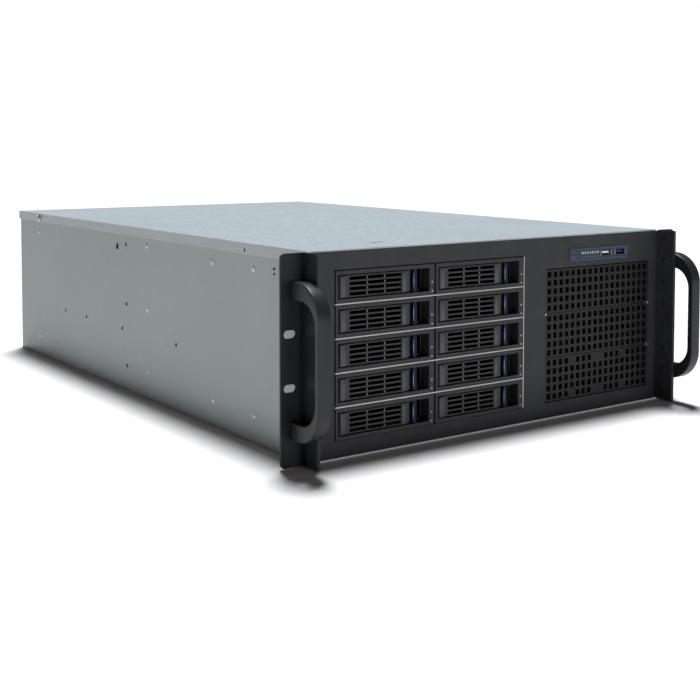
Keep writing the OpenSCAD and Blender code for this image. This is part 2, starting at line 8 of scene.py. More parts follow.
import bpy
import numpy as np
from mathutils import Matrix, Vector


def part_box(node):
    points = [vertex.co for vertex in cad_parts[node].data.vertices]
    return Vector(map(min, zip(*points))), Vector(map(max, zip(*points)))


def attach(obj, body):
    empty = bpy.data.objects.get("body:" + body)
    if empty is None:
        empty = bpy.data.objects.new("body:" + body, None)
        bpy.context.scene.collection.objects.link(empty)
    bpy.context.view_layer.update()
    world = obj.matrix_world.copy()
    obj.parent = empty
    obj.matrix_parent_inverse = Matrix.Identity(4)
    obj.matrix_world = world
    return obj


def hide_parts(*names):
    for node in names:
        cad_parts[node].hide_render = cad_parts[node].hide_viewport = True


bl_info = {
    "name": "Rack Storage Enclosure",
    "version": (1, 0, 0),
    "blender": (4, 5, 0),
    "location": "View3D > Sidebar > Enclosure",
    "description": "Gives a rack storage enclosure its finishes and fine pieces",
    "category": "Add Mesh",
}

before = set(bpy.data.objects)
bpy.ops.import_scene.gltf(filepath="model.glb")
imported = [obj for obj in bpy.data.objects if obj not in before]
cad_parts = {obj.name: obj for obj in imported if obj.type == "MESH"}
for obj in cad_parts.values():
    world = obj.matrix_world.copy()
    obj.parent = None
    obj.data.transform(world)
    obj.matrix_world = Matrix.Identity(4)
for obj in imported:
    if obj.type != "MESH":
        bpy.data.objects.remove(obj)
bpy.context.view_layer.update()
MM = 0.001
TURN = 2 * math.pi
TRAYS = [f"{number:02d}" for number in range(1, 11)]


# ---- settings ----


class SheetSettings(bpy.types.PropertyGroup):
    zinc_colour: bpy.props.FloatVectorProperty(
        name="Body steel", description="Colour of the zinc-coated body", subtype="COLOR",
        size=3, min=0, max=1, default=(0.335, 0.37, 0.365),
    )
    cover_colour: bpy.props.FloatVectorProperty(
        name="Cover steel", description="Colour of the sliding cover", subtype="COLOR",
        size=3, min=0, max=1, default=(0.40, 0.43, 0.44),
    )
    cage_colour: bpy.props.FloatVectorProperty(
        name="Cage steel", description="Colour of the bare cage sheets", subtype="COLOR",
        size=3, min=0, max=1, default=(0.44, 0.43, 0.42),
    )
    edge: bpy.props.FloatProperty(
        name="Sheet edge", description="Radius of a cut sheet edge", unit="LENGTH",
        subtype="DISTANCE", default=0.00025,
    )


class CoatSettings(bpy.types.PropertyGroup):
    panel_colour: bpy.props.FloatVectorProperty(
        name="Front panel", description="Powder coat of the front panel", subtype="COLOR",
        size=3, min=0, max=1, default=(0.033, 0.034, 0.038),
    )
    ear_colour: bpy.props.FloatVectorProperty(
        name="Ears", description="Powder coat of the rack ears", subtype="COLOR",
        size=3, min=0, max=1, default=(0.013, 0.015, 0.017),
    )
    grille_colour: bpy.props.FloatVectorProperty(
        name="Grilles", description="Powder coat of the cover plates", subtype="COLOR",
        size=3, min=0, max=1, default=(0.012, 0.012, 0.012),
    )
    peel: bpy.props.FloatProperty(
        name="Peel", description="Grain size of the powder coat", unit="LENGTH",
        subtype="DISTANCE", default=0.0007,
    )


class HandleSettings(bpy.types.PropertyGroup):
    colour: bpy.props.FloatVectorProperty(
        name="Colour", description="Satin coat of the bow handles", subtype="COLOR",
        size=3, min=0, max=1, default=(0.015, 0.016, 0.017),
    )
    arm: bpy.props.FloatProperty(
        name="Arm", description="Height of an arm where it meets the ear", unit="LENGTH",
        subtype="DISTANCE", default=0.015,
    )
    bar: bpy.props.FloatProperty(
        name="Bar", description="Thickness of the upright bar", unit="LENGTH",
        subtype="DISTANCE", default=0.006,
    )
    outer_bend: bpy.props.FloatProperty(
        name="Outer bend", description="Radius of the outer bend", unit="LENGTH",
        subtype="DISTANCE", default=0.030,
    )
    inner_bend: bpy.props.FloatProperty(
        name="Inner bend", description="Radius of the inner bend", unit="LENGTH",
        subtype="DISTANCE", default=0.020,
    )
    edge: bpy.props.FloatProperty(
        name="Edge", description="Radius of the handle's long edges", unit="LENGTH",
        subtype="DISTANCE", default=0.0012,
    )


class TraySettings(bpy.types.PropertyGroup):
    frame_colour: bpy.props.FloatVectorProperty(
        name="Frame", description="Plastic of the tray frames", subtype="COLOR",
        size=3, min=0, max=1, default=(0.032, 0.032, 0.035),
    )
    lever_colour: bpy.props.FloatVectorProperty(
        name="Lever", description="Plastic of the levers", subtype="COLOR",
        size=3, min=0, max=1, default=(0.036, 0.036, 0.039),
    )
    latch_colour: bpy.props.FloatVectorProperty(
        name="Latch", description="Plastic of the latches", subtype="COLOR",
        size=3, min=0, max=1, default=(0.008, 0.011, 0.040),
    )
    # Painted highlight: the raised strips get a paler plastic than the lever to stand in for the
    # light their rounded faces catch.
    trim_highlight_colour: bpy.props.FloatVectorProperty(
        name="Trim", description="Plastic of the raised strips on a lever", subtype="COLOR",
        size=3, min=0, max=1, default=(0.085, 0.085, 0.092),
    )
    lamp_radius: bpy.props.FloatProperty(
        name="Lamp", description="Radius of a drive lamp's light pipe", unit="LENGTH",
        subtype="DISTANCE", default=0.0008,
    )
    edge: bpy.props.FloatProperty(
        name="Edge", description="Radius of the moulded edges", unit="LENGTH",
        subtype="DISTANCE", default=0.00035,
    )


class StripSettings(bpy.types.PropertyGroup):
    film_colour: bpy.props.FloatVectorProperty(
        name="Film", description="Colour of the control strip", subtype="COLOR",
        size=3, min=0, max=1, default=(0.014, 0.028, 0.062),
    )
    outline_colour: bpy.props.FloatVectorProperty(
        name="Outline", description="Colour of the printed outline", subtype="COLOR",
        size=3, min=0, max=1, default=(0.06, 0.13, 0.21),
    )
    mark_colour: bpy.props.FloatVectorProperty(
        name="Marks", description="Colour of the printed marks", subtype="COLOR",
        size=3, min=0, max=1, default=(0.50, 0.54, 0.58),
    )
    margin: bpy.props.FloatProperty(
        name="Margin", description="Distance of the outline from the strip's rim", unit="LENGTH",
        subtype="DISTANCE", default=0.0012,
    )


class FanSettings(bpy.types.PropertyGroup):
    colour: bpy.props.FloatVectorProperty(
        name="Fan plastic", description="Plastic of frames and rotors", subtype="COLOR",
        size=3, min=0, max=1, default=(0.016, 0.016, 0.017),
    )
    blades: bpy.props.IntProperty(
        name="Blades", description="Blades of each rotor", min=5, max=11, default=7,
    )
    pitch_at_hub: bpy.props.FloatProperty(
        name="Pitch at hub", description="Blade angle from the fan's plane at the hub",
        subtype="ANGLE", default=math.radians(48),
    )
    pitch_at_tip: bpy.props.FloatProperty(
        name="Pitch at tip", description="Blade angle from the fan's plane at the tip",
        subtype="ANGLE", default=math.radians(28),
    )
    sweep: bpy.props.FloatProperty(
        name="Sweep", description="How far a blade leans forward between hub and tip",
        subtype="ANGLE", default=math.radians(22),
    )


class StageSettings(bpy.types.PropertyGroup):
    place: bpy.props.FloatVectorProperty(
        name="Camera place", description="Where the camera stands", subtype="XYZ",
        unit="LENGTH", size=3, default=(-0.727, -0.7935, 0.2664),
    )
    heading: bpy.props.FloatProperty(
        name="Heading", description="Camera's turn from +Y towards +X",
        subtype="ANGLE", default=math.radians(36.0),
    )
    tilt: bpy.props.FloatProperty(
        name="Tilt", description="How far the camera looks down",
        subtype="ANGLE", default=math.radians(3.08),
    )
    roll: bpy.props.FloatProperty(
        name="Roll", description="Camera's turn about its own axis",
        subtype="ANGLE", default=math.radians(-0.12),
    )
    lens: bpy.props.FloatProperty(
        name="Lens", description="Focal length in millimetres for a 36 mm film", default=59.5,
    )
    shift: bpy.props.FloatVectorProperty(
        name="Shift", description="Lens shift as a share of the picture's width",
        size=2, default=(-0.0314, -0.2071),
    )
    floor_colour: bpy.props.FloatVectorProperty(
        name="Floor", description="Colour of the floor", subtype="COLOR",
        size=3, min=0, max=1, default=(0.74, 0.70, 0.665),
    )
    room: bpy.props.FloatProperty(
        name="Room", description="Brightness of the room that lights the object", default=0.05,
    )
    overhead: bpy.props.FloatProperty(
        name="Overhead light", description="Strength of the broad overhead light", default=5.6,
    )
    front_light: bpy.props.FloatProperty(
        name="Front light", description="Strength of the square light before the front",
        default=11.0,
    )
    side_light: bpy.props.FloatProperty(
        name="Side light", description="Strength of the square light by the left side",
        default=3.6,
    )
    softness: bpy.props.FloatProperty(
        name="Softness", description="Angle that the overhead light fills", subtype="ANGLE",
        default=math.radians(15),
    )


GROUPS = {
    "sheet": SheetSettings,
    "coat": CoatSettings,
    "handle": HandleSettings,
    "tray": TraySettings,
    "strip": StripSettings,
    "fan": FanSettings,
    "stage": StageSettings,
}


def settings(group):
    """The scene's own values of one settings group."""
    return getattr(bpy.context.scene, "enclosure_" + group)


# ---- shapes ----


def grid_faces(rows, columns, joined_rows=False):
    """Four-sided faces between neighbours of a grid whose columns close on themselves."""
    row = np.arange(rows if joined_rows else rows - 1)
    row, column = np.meshgrid(row, np.arange(columns), indexing="ij")
    next_row, next_column = (row + 1) % rows, (column + 1) % columns
    corners = [row * columns + column, row * columns + next_column]
    corners += [next_row * columns + next_column, next_row * columns + column]
    return np.stack(corners, -1).reshape(-1, 4)


def outward(points, faces):
    """The same closed shape with its faces outwards, where the sum of a.(b x c)/6 is positive."""
    quads = np.array([face[:4] for face in faces if len(face) == 4])
    a, b, c, d = (points[quads[:, k]] for k in range(4))
    volume = np.einsum("ij,ij->", a, np.cross(b, c)) + np.einsum("ij,ij->", a, np.cross(c, d))
    for face in faces:
        if len(face) > 4:
            ring = points[list(face)]
            volume += np.sum(np.cross(ring[1:-1], ring[2:]) @ ring[0])
    return (points, faces) if volume > 0 else (points, [face[::-1] for face in faces])


def skin(grid, ring=False):
    """A closed skin over a grid (rows, points round a row, 3), with a flat face on each end."""
    rows, around = grid.shape[:2]
    faces = grid_faces(rows, around, ring).tolist()
    if not ring:
        faces.append(list(range(around))[::-1])
        faces.append(list(range((rows - 1) * around, rows * around)))
    return outward(grid.reshape(-1, 3), faces)


def together(shapes):
    """Several shapes as one: the points in a row, and each face's numbers moved along."""
    points, faces, start = [], [], 0
    for shape_points, shape_faces in shapes:
        points.append(shape_points)
        faces += [[start + corner for corner in face] for face in shape_faces]
        start += len(shape_points)
    return np.concatenate(points), faces


def rounded_block(low, high, radius, steps=3):
    """A block with round edges. Each point is a corner of the inner block, on the point's own
    side, plus the radius times the unit direction (cos b cos a, cos b sin a, sin b)."""
    a = (np.arange(4 * steps) + 0.5) * TURN / (4 * steps)
    b = (np.arange(2 * steps) + 0.5) * TURN / (4 * steps) - TURN / 4
    b, a = np.meshgrid(b, a, indexing="ij")
    way = np.stack([np.cos(b) * np.cos(a), np.cos(b) * np.sin(a), np.sin(b)], -1)
    low, high = np.array(low, float), np.array(high, float)
    return skin((low + high) / 2 + np.sign(way) * ((high - low) / 2 - radius) + radius * way)


def lathe(profile, centre, axis, around=24):
    """A turned shape. A profile row (t, r) makes the ring centre + t along the axis, r wide."""
    profile = np.array(profile, float)
    angle = np.arange(around) * TURN / around
    grid = np.zeros((len(profile), around, 3))
    grid[..., axis] = profile[:, :1]
    grid[..., (axis + 1) % 3] = profile[:, 1:] * np.cos(angle)
    grid[..., (axis + 2) % 3] = profile[:, 1:] * np.sin(angle)
    return skin(grid + np.array(centre, float))


def dome_profile(radius, height, foot):
    """Profile of a rivet head: t = height cos a and r = radius sin a, on a foot that is sunk."""
    a = np.linspace(TURN / 4, 0.06, 6)
    rows = np.stack([height * np.cos(a), radius * np.sin(a)], -1)
    return np.concatenate([[[-foot, radius]], rows])


def cross_head(centre, axis, way, radius, height, recess):
    """A round screw head with a cross in it. At (x, y) on the head its height is
    h (1 - 0.45 (r/R)^2), less the recess times exp(-(min(|x|, |y|) / w)^4) inside 0.62 R."""
    around, rings = 40, 10
    angle = np.arange(around) * TURN / around
    r = np.concatenate([[radius, radius], np.linspace(radius * 0.95, radius * 0.04, rings)])
    r, angle = np.meshgrid(r, angle, indexing="ij")
    x, y = r * np.cos(angle), r * np.sin(angle)
    arm = np.exp(-((np.minimum(abs(x), abs(y)) / (radius * 0.16)) ** 4))
    reach = 1 / (1 + np.exp((r - 0.6 * radius) / (0.03 * radius)))
    t = height * (1 - 0.45 * (r / radius) ** 2) - recess * arm * reach
    t[0] = 0
    t[1] = height * 0.5
    grid = np.zeros(t.shape + (3,))
    grid[..., axis] = way * t
    grid[..., (axis + 1) % 3] = x
    grid[..., (axis + 2) % 3] = y
    return skin(grid + np.array(centre, float))


def section_loop(half_u, half_v, radius, steps=4):
    """Points (u, v) round a rectangle with round corners: corner centre + radius (cos, sin)."""
    corner = np.repeat(np.arange(4), steps)
    angle = (corner + np.tile(np.linspace(0, 1, steps), 4)) * TURN / 4
    side_u = np.array([1, -1, -1, 1])[corner]
    side_v = np.array([1, 1, -1, -1])[corner]
    u = side_u * (half_u - radius) + radius * np.cos(angle)
    v = side_v * (half_v - radius) + radius * np.sin(angle)
    return u, v


def frame_ring(low, high, corner, width, y0, y1):
    """A flat picture-frame ring in X and Z: the outline is a rectangle with round corners, and
    each of its points carries the four corners of a small section, width by y1 - y0."""
    half = (np.array(high, float) - np.array(low, float)) / 2
    middle = (np.array(high, float) + np.array(low, float)) / 2
    outer = np.stack(section_loop(half[0], half[1], corner, 5), -1)
    inner_radius = max(corner - width, 0.05)
    inner = np.stack(section_loop(half[0] - width, half[1] - width, inner_radius, 5), -1)
    rows = len(outer)
    grid = np.zeros((rows, 4, 3))
    for k, (edge, y) in enumerate([(outer, y0), (inner, y0), (inner, y1), (outer, y1)]):
        grid[:, k, 0] = edge[:, 0] + middle[0]
        grid[:, k, 1] = y
        grid[:, k, 2] = edge[:, 1] + middle[1]
    return skin(grid, ring=True)


def lobed_mark(x, z, size, lobes, depth, y0, y1):
    """A flat printed mark whose rim is r = size (1 + depth cos(lobes a))."""
    angle = np.arange(36) * TURN / 36
    r = size * (1 + depth * np.cos(lobes * angle)) / (1 + depth)
    grid = np.zeros((2, len(angle), 3))
    grid[..., 0] = x + r * np.sin(angle)
    grid[..., 2] = z + r * np.cos(angle)
    grid[0, :, 1] = y0
    grid[1, :, 1] = y1
    return skin(grid)


def solids_of(node):
    """Boxes (low, high) in millimetres of the separate solids in a CAD node. Points at the same
    place are one point, and each takes the lowest label among its triangle's corners until
    nothing changes."""
    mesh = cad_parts[node].data
    points = np.zeros(len(mesh.vertices) * 3, np.float32)
    mesh.vertices.foreach_get("co", points)
    points = points.reshape(-1, 3) / MM
    mesh.calc_loop_triangles()
    corners = np.zeros(len(mesh.loop_triangles) * 3, np.int32)
    mesh.loop_triangles.foreach_get("vertices", corners)
    _, place = np.unique(np.round(points, 2), axis=0, return_inverse=True)
    triangles = place.ravel()[corners].reshape(-1, 3)
    label = np.arange(place.max() + 1)
    settled = False
    while not settled:
        lowest = label[triangles].min(1)
        spread = label.copy()
        for k in range(3):
            np.minimum.at(spread, triangles[:, k], lowest)
        settled = np.array_equal(spread, label)
        label = spread
    label = label[place.ravel()]
    return [(points[label == k].min(0), points[label == k].max(0)) for k in np.unique(label)]


# ---- pieces ----


def mesh_piece(name, shape, material, body, smooth=True):
    """A piece from a shape in millimetres, riding on a body."""
    points, faces = shape
    mesh = bpy.data.meshes.new(name)
    mesh.from_pydata((points * MM).tolist(), [], faces)
    mesh.validate()
    if smooth:
        mesh.shade_smooth()
        mesh.set_sharp_from_angle(angle=math.radians(38))
    mesh.materials.append(material)
    piece = bpy.data.objects.new(name, mesh)
    bpy.context.scene.collection.objects.link(piece)
    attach(piece, body)
    return piece


def dress(node, material, edge=0.0, steps=2, even=True):
    """Gives a CAD node its finish, and rounds its edges where an edge radius is given. A large
    flat sheet with many holes is left uneven, because its long triangles would show."""
    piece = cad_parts[node]
    if piece.material_slots:
        for place in piece.material_slots:
            place.material = material
    else:
        piece.data.materials.append(material)
    if edge:
        weld = piece.modifiers.new("joined corners", "WELD")
        weld.merge_threshold = 1e-6
        bevel = piece.modifiers.new("round edges", "BEVEL")
        bevel.width = edge
        bevel.segments = steps
        bevel.limit_method = "ANGLE"
        bevel.angle_limit = math.radians(35)
        bevel.harden_normals = even
    return piece


def millimetres(node):
    """Lowest and highest corner of a CAD node in millimetres."""
    low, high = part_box(node)
    return np.array(low) / MM, np.array(high) / MM


# ---- finishes ----


class Finish:
    """A material being put together: its node tree, its shader and its place on the object."""

    def __init__(self, name, colour, roughness, metallic=0.0, **sockets):
        self.material = bpy.data.materials.new(name)
        self.material.use_nodes = True
        self.material.diffuse_color = (*colour, 1)
        tree = self.material.node_tree
        self.nodes, self.links = tree.nodes, tree.links
        self.shader = tree.nodes["Principled BSDF"]
        self.colour = colour
        self.shader.inputs["Base Color"].default_value = (*colour, 1)
        self.shader.inputs["Roughness"].default_value = roughness
        self.shader.inputs["Metallic"].default_value = metallic
        for socket, value in sockets.items():
            self.shader.inputs[socket.replace("_", " ")].default_value = value
        self.coordinates = tree.nodes.new("ShaderNodeTexCoord").outputs["Object"]

    def stretched(self, scale):
        """The object's coordinates, stretched along its axes."""
        mapping = self.nodes.new("ShaderNodeMapping")
        mapping.inputs["Scale"].default_value = scale
        self.links.new(self.coordinates, mapping.inputs["Vector"])
        return mapping.outputs["Vector"]

    def noise(self, size, detail=2.0, scale=(1, 1, 1)):
        """A soft noise whose spots are about size metres wide."""
        noise = self.nodes.new("ShaderNodeTexNoise")
        noise.inputs["Scale"].default_value = 1 / size
        noise.inputs["Detail"].default_value = detail
        self.links.new(self.stretched(scale), noise.inputs["Vector"])
        return noise.outputs["Fac"]

    def between(self, fac, low, high):
        """The noise spread over the values low to high."""
        spread = self.nodes.new("ShaderNodeMapRange")
        spread.inputs["From Min"].default_value = 0.3
        spread.inputs["From Max"].default_value = 0.7
        spread.inputs["To Min"].default_value = low
        spread.inputs["To Max"].default_value = high
        self.links.new(fac, spread.inputs["Value"])
        return spread.outputs["Result"]

    def mottle(self, fac, darker, lighter):
        """Base colour that wanders between two shades of the finish's own colour."""
        mix = self.nodes.new("ShaderNodeMix")
        mix.data_type = "RGBA"
        mix.inputs["A"].default_value = (*[c * darker for c in self.colour], 1)
        mix.inputs["B"].default_value = (*[c * lighter for c in self.colour], 1)
        self.links.new(self.between(fac, 0, 1), mix.inputs["Factor"])
        self.links.new(mix.outputs["Result"], self.shader.inputs["Base Color"])
        return mix.outputs["Result"]

    def rough(self, fac, low, high):
        """Roughness that wanders between two values."""
        self.links.new(self.between(fac, low, high), self.shader.inputs["Roughness"])

    def bump(self, fac, depth):
        """Surface relief, depth metres deep."""
        bump = self.nodes.new("ShaderNodeBump")
        bump.inputs["Distance"].default_value = depth
        self.links.new(fac, bump.inputs["Height"])
        self.links.new(bump.outputs["Normal"], self.shader.inputs["Normal"])


def zinc_sheet(name, colour, roughness=0.5, metallic=0.25):
    """Satin zinc-coated sheet: cloudy shades a hand wide, over a fine even grain."""
    made = Finish(name, colour, roughness, metallic)
    made.mottle(made.noise(0.11, 5), 0.97, 1.03)
    made.rough(made.noise(0.005, 3), roughness - 0.05, roughness + 0.06)
    made.bump(made.noise(0.0007, 2), 0.000005)
    return made.material


def powder_coat(name, colour, peel, roughness=0.5, gloss=0.3):
    """Fine powder coat: a pebbled skin whose bumps are one peel wide."""
    made = Finish(name, colour, roughness, Specular_IOR_Level=gloss)
    made.mottle(made.noise(0.02, 3), 0.9, 1.12)
    made.rough(made.noise(peel * 1.6, 2), roughness - 0.05, roughness + 0.07)
    made.bump(made.noise(peel, 2), 0.00002)
    return made.material


def moulded(name, colour, roughness=0.44):
    """Moulded plastic with a fine spark-eroded grain."""
    grain = 0.0004
    made = Finish(name, colour, roughness, Specular_IOR_Level=0.3)
    made.mottle(made.noise(0.009, 3), 0.92, 1.09)
    made.rough(made.noise(grain * 2, 2), roughness - 0.04, roughness + 0.06)
    made.bump(made.noise(grain, 1), 0.000008)
    return made.material


def bright_metal(name, colour, roughness):
    """Plated metal with short scratches."""
    made = Finish(name, colour, roughness, 1.0)
    made.mottle(made.noise(0.003, 3), 0.93, 1.05)
    made.rough(made.noise(0.0015, 3, (1, 0.1, 1)), roughness - 0.07, roughness + 0.08)
    made.bump(made.noise(0.0005, 2, (1, 0.1, 1)), 0.000004)
    return made.material


def solder_mask(name, colour):
    """Circuit board: a glossy mask over tracks that run along Z, seen as a faint relief."""
    made = Finish(name, colour, 0.3)
    made.mottle(made.noise(0.0016, 0, (1, 1, 0.05)), 0.75, 1.35)
    made.rough(made.noise(0.002, 2), 0.24, 0.38)
    made.bump(made.noise(0.0016, 0, (1, 1, 0.05)), 0.00003)
    return made.material


def printed(name, colour):
    """Ink with a faint unevenness."""
    made = Finish(name, colour, 0.4)
    made.mottle(made.noise(0.0012, 2), 0.88, 1.1)
    made.rough(made.noise(0.0015, 2), 0.35, 0.45)
    return made.material


# ---- operators ----


class EnclosureStep:
    """What the building steps have in common: one undo step each."""

    bl_options = {"REGISTER", "UNDO"}


class ENCLOSURE_OT_body(EnclosureStep, bpy.types.Operator):
    """Finishes the body, the rear wall, the cages and the sliding cover, and adds the hem"""

    bl_idname = "enclosure.body"
    bl_label = "Body and cover"
    HEM_RISE = 0.4
    HEM_PROUD = 1.2
    HEM_INSET = 1.5

    def execute(self, context):
        sheet = settings("sheet")
        zinc = zinc_sheet("zinc sheet", tuple(sheet.zinc_colour))
        cover = zinc_sheet("cover sheet", tuple(sheet.cover_colour), 0.42)
        cage = bright_metal("cage sheet", tuple(sheet.cage_colour), 0.34)
        for node in ("base_pan", "fan_wall"):
            dress(node, zinc, sheet.edge)
        for node in ("rear_panel", "slot_covers"):
            dress(node, zinc)
        dress("top_cover", cover, sheet.edge)
        for node in ("drive_cage", "bay_cage"):
            dress(node, cage)
        # The hem's near-white colour is a painted highlight: the zinc fold is painted far paler
        # than the body steel so that it shows as a bright line.
        self.hem(zinc_sheet("hem steel painted highlight", (0.94, 0.95, 0.96), 0.4, 0.0))
        return {"FINISHED"}

    def hem(self, steel):
        """The floor's front edge, folded over to a round hem, painted near white as a painted
        highlight.
        It rises a little above the front panel's lower edge and stands proud of the front. Its
        ends are inset."""
        panel_low, panel_high = millimetres("front_panel")
        floor_low, _ = millimetres("base_pan")
        radius = (panel_low[2] + self.HEM_RISE) / 2
        reach = panel_high[0] - self.HEM_INSET
        centre = (0, radius - self.HEM_PROUD, floor_low[2] + radius)
        rod = lathe([(-reach, radius), (reach, radius)], centre, 0, 20)
        mesh_piece("floor_hem", rod, steel, "chassis")


class ENCLOSURE_OT_front(EnclosureStep, bpy.types.Operator):
    """Finishes the front panel, the rack ears and the perforated cover plates"""

    bl_idname = "enclosure.front"
    bl_label = "Front panel and ears"

    def execute(self, context):
        coat = settings("coat")
        panel = powder_coat("panel coat", tuple(coat.panel_colour), coat.peel)
        ear = powder_coat("ear coat", tuple(coat.ear_colour), coat.peel)
        grille = powder_coat("grille coat", tuple(coat.grille_colour), coat.peel)
        dress("front_panel", panel)
        for side in ("left", "right"):
            dress("ear_" + side, ear, 0.0004)
        for number in (1, 2, 3):
            dress(f"bay_cover_{number}", grille, 0.00015, 1, False)
        self.clips()
        return {"FINISHED"}

    def clips(self):
        """Spring tabs that hold the cover plates: at the right, at the lower edges of the top and
        the middle plate, and at the left, at the middle plate's upper edge."""
        steel = bright_metal("spring steel", (0.75, 0.76, 0.78), 0.25)
        plate_low, plate_high = millimetres("bay_cover_2")
        proud, deep, radius = 1.1, 2.5, 0.25
        tabs = []
        for number in (1, 2):
            low, _ = millimetres(f"bay_cover_{number}")
            tabs.append(rounded_block(
                (plate_high[0] - 0.6, low[1] - proud, low[2] - 1.6),
                (plate_high[0] + 0.2, low[1] + deep, low[2] + 1.4), radius,
            ))
        tabs.append(rounded_block(
            (plate_low[0] - 0.2, plate_low[1] - proud, plate_high[2] - 1.4),
            (plate_low[0] + 0.6, plate_low[1] + deep, plate_high[2] + 1.4), radius,
        ))
        mesh_piece("cover_tabs", together(tabs), steel, "chassis")


class ENCLOSURE_OT_handles(EnclosureStep, bpy.types.Operator):
    """Builds the two bow handles"""

    bl_idname = "enclosure.handles"
    bl_label = "Bow handles"

    def execute(self, context):
        handle = settings("handle")
        satin = powder_coat("handle coat", tuple(handle.colour), 0.0004, 0.4, 0.35)
        for side in ("left", "right"):
            node = "handle_" + side
            piece = mesh_piece(
                "bow_" + side, self.bow(node, handle), satin, "chassis"
            )
            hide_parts(node)
        return {"FINISHED"}

    def bow(self, node, handle):
        """A rounded section carried round half a stadium. The outer and the inner line are each
        an arm, a quarter circle, a bar, a quarter circle and an arm; the section spans the two."""
        low, high = millimetres(node)
        out, half = -low[1], (high[2] - low[2]) / 2
        middle = (high[2] + low[2]) / 2
        outer = self.line(out, half, handle.outer_bend / MM)
        inner = self.line(out - handle.bar / MM, half - handle.arm / MM, handle.inner_bend / MM)
        centre, reach = (outer + inner) / 2, (outer - inner) / 2
        depth = np.linalg.norm(reach, axis=1)
        way = reach / depth[:, None]
        wide = (high[0] - low[0]) / 2
        edge = handle.edge / MM
        grid = np.zeros((len(outer), 24, 3))
        for row, deep in enumerate(depth):
            u, v = section_loop(wide, deep, edge, 6)
            grid[row, :, 0] = (low[0] + high[0]) / 2 + u
            grid[row, :, 1] = centre[row, 0] + v * way[row, 0]
            grid[row, :, 2] = middle + centre[row, 1] + v * way[row, 1]
        return skin(grid)

    def line(self, out, half, bend):
        """Half a stadium in (y, z): from the ear outwards, round, down, round and back."""
        turn = np.linspace(0, TURN / 4, 14)
        arm = np.stack([np.linspace(0, bend - out, 4)[:-1], np.full(3, half)], -1)
        arc = np.stack([bend - out - bend * np.sin(turn), half - bend + bend * np.cos(turn)], -1)
        upper = np.concatenate([arm, arc])
        lower = upper[::-1] * (1, -1)
        return np.concatenate([upper, lower])


class ENCLOSURE_OT_fasteners(EnclosureStep, bpy.types.Operator):
    """Builds the heads of rivets and screws where the CAD model has them"""

    bl_idname = "enclosure.fasteners"
    bl_label = "Rivets and screws"
    LEG_HEAD = 0.9
    SIDE_HEAD = 0.6
    THROUGH = 4.5
    SHANK = 1.5
    GRIP = 9.0

    def execute(self, context):
        steel = bright_metal("screw steel", (0.55, 0.55, 0.56), 0.32)
        dull = zinc_sheet("rivet steel", (0.46, 0.50, 0.49), 0.3, 0.5)
        coat = settings("coat")
        painted = powder_coat("rivet coat", tuple(coat.ear_colour), coat.peel, 0.4)
        on_legs, on_sides = self.rivets()
        for name, shape, finish in (
            ("leg_rivets", on_legs, painted), ("side_rivets", on_sides, dull),
        ):
            piece = mesh_piece(name, shape, finish, "chassis")
            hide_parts("rivets")
        heads = mesh_piece("cover_screw_heads", self.cover_screws(), steel, "cover")
        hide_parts("cover_screws")
        dress("handle_screws", steel)
        return {"FINISHED"}

    def rivets(self):
        """Rivets of the ears' legs and rivets of the side walls: a dome on each wide end of a
        solid, and a shank whose ends lie just under the sheets' surfaces. On the legs only the
        longer rivets, which have a head outside too, go right through."""
        on_legs, on_sides = [], []
        for low, high in solids_of("rivets"):
            middle = (low + high) / 2
            radius = (high[2] - low[2]) / 2
            side = np.sign(middle[0])
            outer, inner = (high[0], low[0]) if side > 0 else (low[0], high[0])
            on_body = middle[1] > 0
            through = high[0] - low[0] > self.THROUGH
            ends = [(outer, side)] if on_body or through else []
            ends += [] if on_body else [(inner, -side)]
            place = (0, middle[1], middle[2])
            shapes = on_sides if on_body else on_legs
            tall = self.SIDE_HEAD if on_body else self.LEG_HEAD
            for end, way in ends:
                dome = dome_profile(radius, tall, 0.05)
                shapes.append(lathe([(end - way * (tall - t), r) for t, r in dome], place, 0))
            sunk = 0.02 * side
            shank = [(outer - sunk, self.SHANK), (inner + sunk, self.SHANK)]
            shapes.append(lathe(shank, place, 0, 24))
        return together(on_legs), together(on_sides)

    def cover_screws(self):
        """Low cross-head screws on the sides and knurled thumb screws at the back."""
        shapes = []
        for low, high in solids_of("cover_screws"):
            middle = (low + high) / 2
            side = np.sign(middle[0])
            if high[0] - low[0] < 10:
                foot = high[1] - self.GRIP
                shapes.append(self.knurled(middle[0], foot, middle[2]))
                shank = [(low[1], 1.9), (foot + 0.5, 1.9)]
                shapes.append(lathe(shank, (middle[0], 0, middle[2]), 1, 16))
            else:
                outer, height = (high[0] if side > 0 else low[0]), 1.4
                centre = (outer - side * height, middle[1], middle[2])
                shapes.append(cross_head(centre, 0, side, 3.4, height, 0.8))
        return together(shapes)

    def knurled(self, x, foot, z):
        """A thumb screw: r = R + ridge cos(30 a), where the ridge is there on its grip and gone
        on its plain rims."""
        around = 120
        angle = np.arange(around) * TURN / around
        t = np.array([0, 0.3, 1.0, 1.2, 7.4, 7.7, 8.6, self.GRIP])
        r = np.array([4.1, 4.5, 4.5, 4.2, 4.2, 4.5, 4.5, 4.0])
        ridge = np.array([0, 0, 0, 0.22, 0.22, 0, 0, 0])
        radius = r[:, None] + ridge[:, None] * np.cos(30 * angle)
        grid = np.zeros((len(t), around, 3))
        grid[..., 0] = x + radius * np.cos(angle)
        grid[..., 1] = foot + t[:, None]
        grid[..., 2] = z + radius * np.sin(angle)
        return skin(grid)


